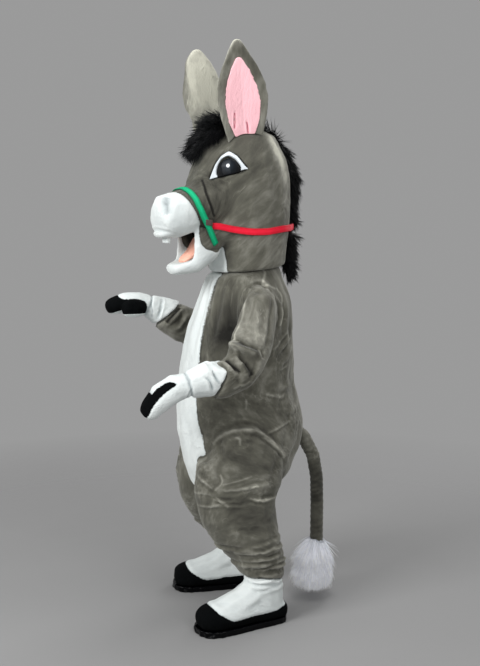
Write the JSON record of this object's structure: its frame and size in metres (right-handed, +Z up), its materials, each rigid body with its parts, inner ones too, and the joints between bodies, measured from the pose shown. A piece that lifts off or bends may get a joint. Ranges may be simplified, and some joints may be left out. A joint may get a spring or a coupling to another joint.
{
  "type": "donkey costume",
  "caption": "Plush walk-about donkey costume shown upright and filled: long ears, open mouth, bridle, mane, hoof mitts, shoe covers and tufted tail.",
  "frame": {"origin": "on the floor, at the middle of the costume's outline seen from above", "axes": "+Z up, the costume faces -Y, its own left side is towards +X"},
  "size_m": [0.7648, 0.9568, 2.3762],
  "materials": {
    "grey_plush": "short grey plush, brushed",
    "white_plush": "short white plush",
    "pink_plush": "smooth pink plush",
    "tongue_fleece": "peach fleece",
    "black_plush": "short black plush",
    "black_fur": "long black pile",
    "white_fur": "long white pile",
    "black_gauze": "black see-through gauze",
    "white_felt": "white felt",
    "grey_felt": "dark grey felt",
    "green_webbing": "green woven webbing",
    "red_webbing": "red woven webbing",
    "eye_white": "white vinyl with a black edge",
    "eye_dark": "glossy dark vinyl",
    "black_patent": "glossy black vinyl"
  },
  "bodies": {
    "root": {"head": "grey_plush", "muzzle": "white_plush", "teeth_upper": "white_felt", "jaw": "white_plush", "tongue": "tongue_fleece", "mouth_gauze": "black_gauze", "throat_panel": "white_plush", "mane": "black_fur", "forelock": "black_fur", "noseband": "green_webbing", "head_strap": "red_webbing", "trunk": "grey_plush", "belly_panel": "white_plush", "tail": "grey_plush", "tail_tuft": "white_fur", "eye_left": "eye_white", "iris_left": "eye_dark", "ear_left": "grey_plush", "ear_lining_left": "pink_plush", "strap_tab_left": "grey_felt", "thigh_left": "grey_plush", "shank_left": "grey_plush", "gaiter_left": "white_plush", "shoe_left": "black_plush", "sole_left": "black_patent", "upper_arm_left": "grey_plush", "forearm_left": "grey_plush", "cuff_left": "white_plush", "mitt_left": "white_plush", "hoof_left": "black_plush", "thumb_left": "white_plush", "thumb_hoof_left": "black_plush", "eye_right": "eye_white", "iris_right": "eye_dark", "ear_right": "grey_plush", "ear_lining_right": "pink_plush", "strap_tab_right": "grey_felt", "thigh_right": "grey_plush", "shank_right": "grey_plush", "gaiter_right": "white_plush", "shoe_right": "black_plush", "sole_right": "black_patent", "upper_arm_right": "grey_plush", "forearm_right": "grey_plush", "cuff_right": "white_plush", "mitt_right": "white_plush", "hoof_right": "black_plush", "thumb_right": "white_plush", "thumb_hoof_right": "black_plush"}
  },
  "joints": []
}
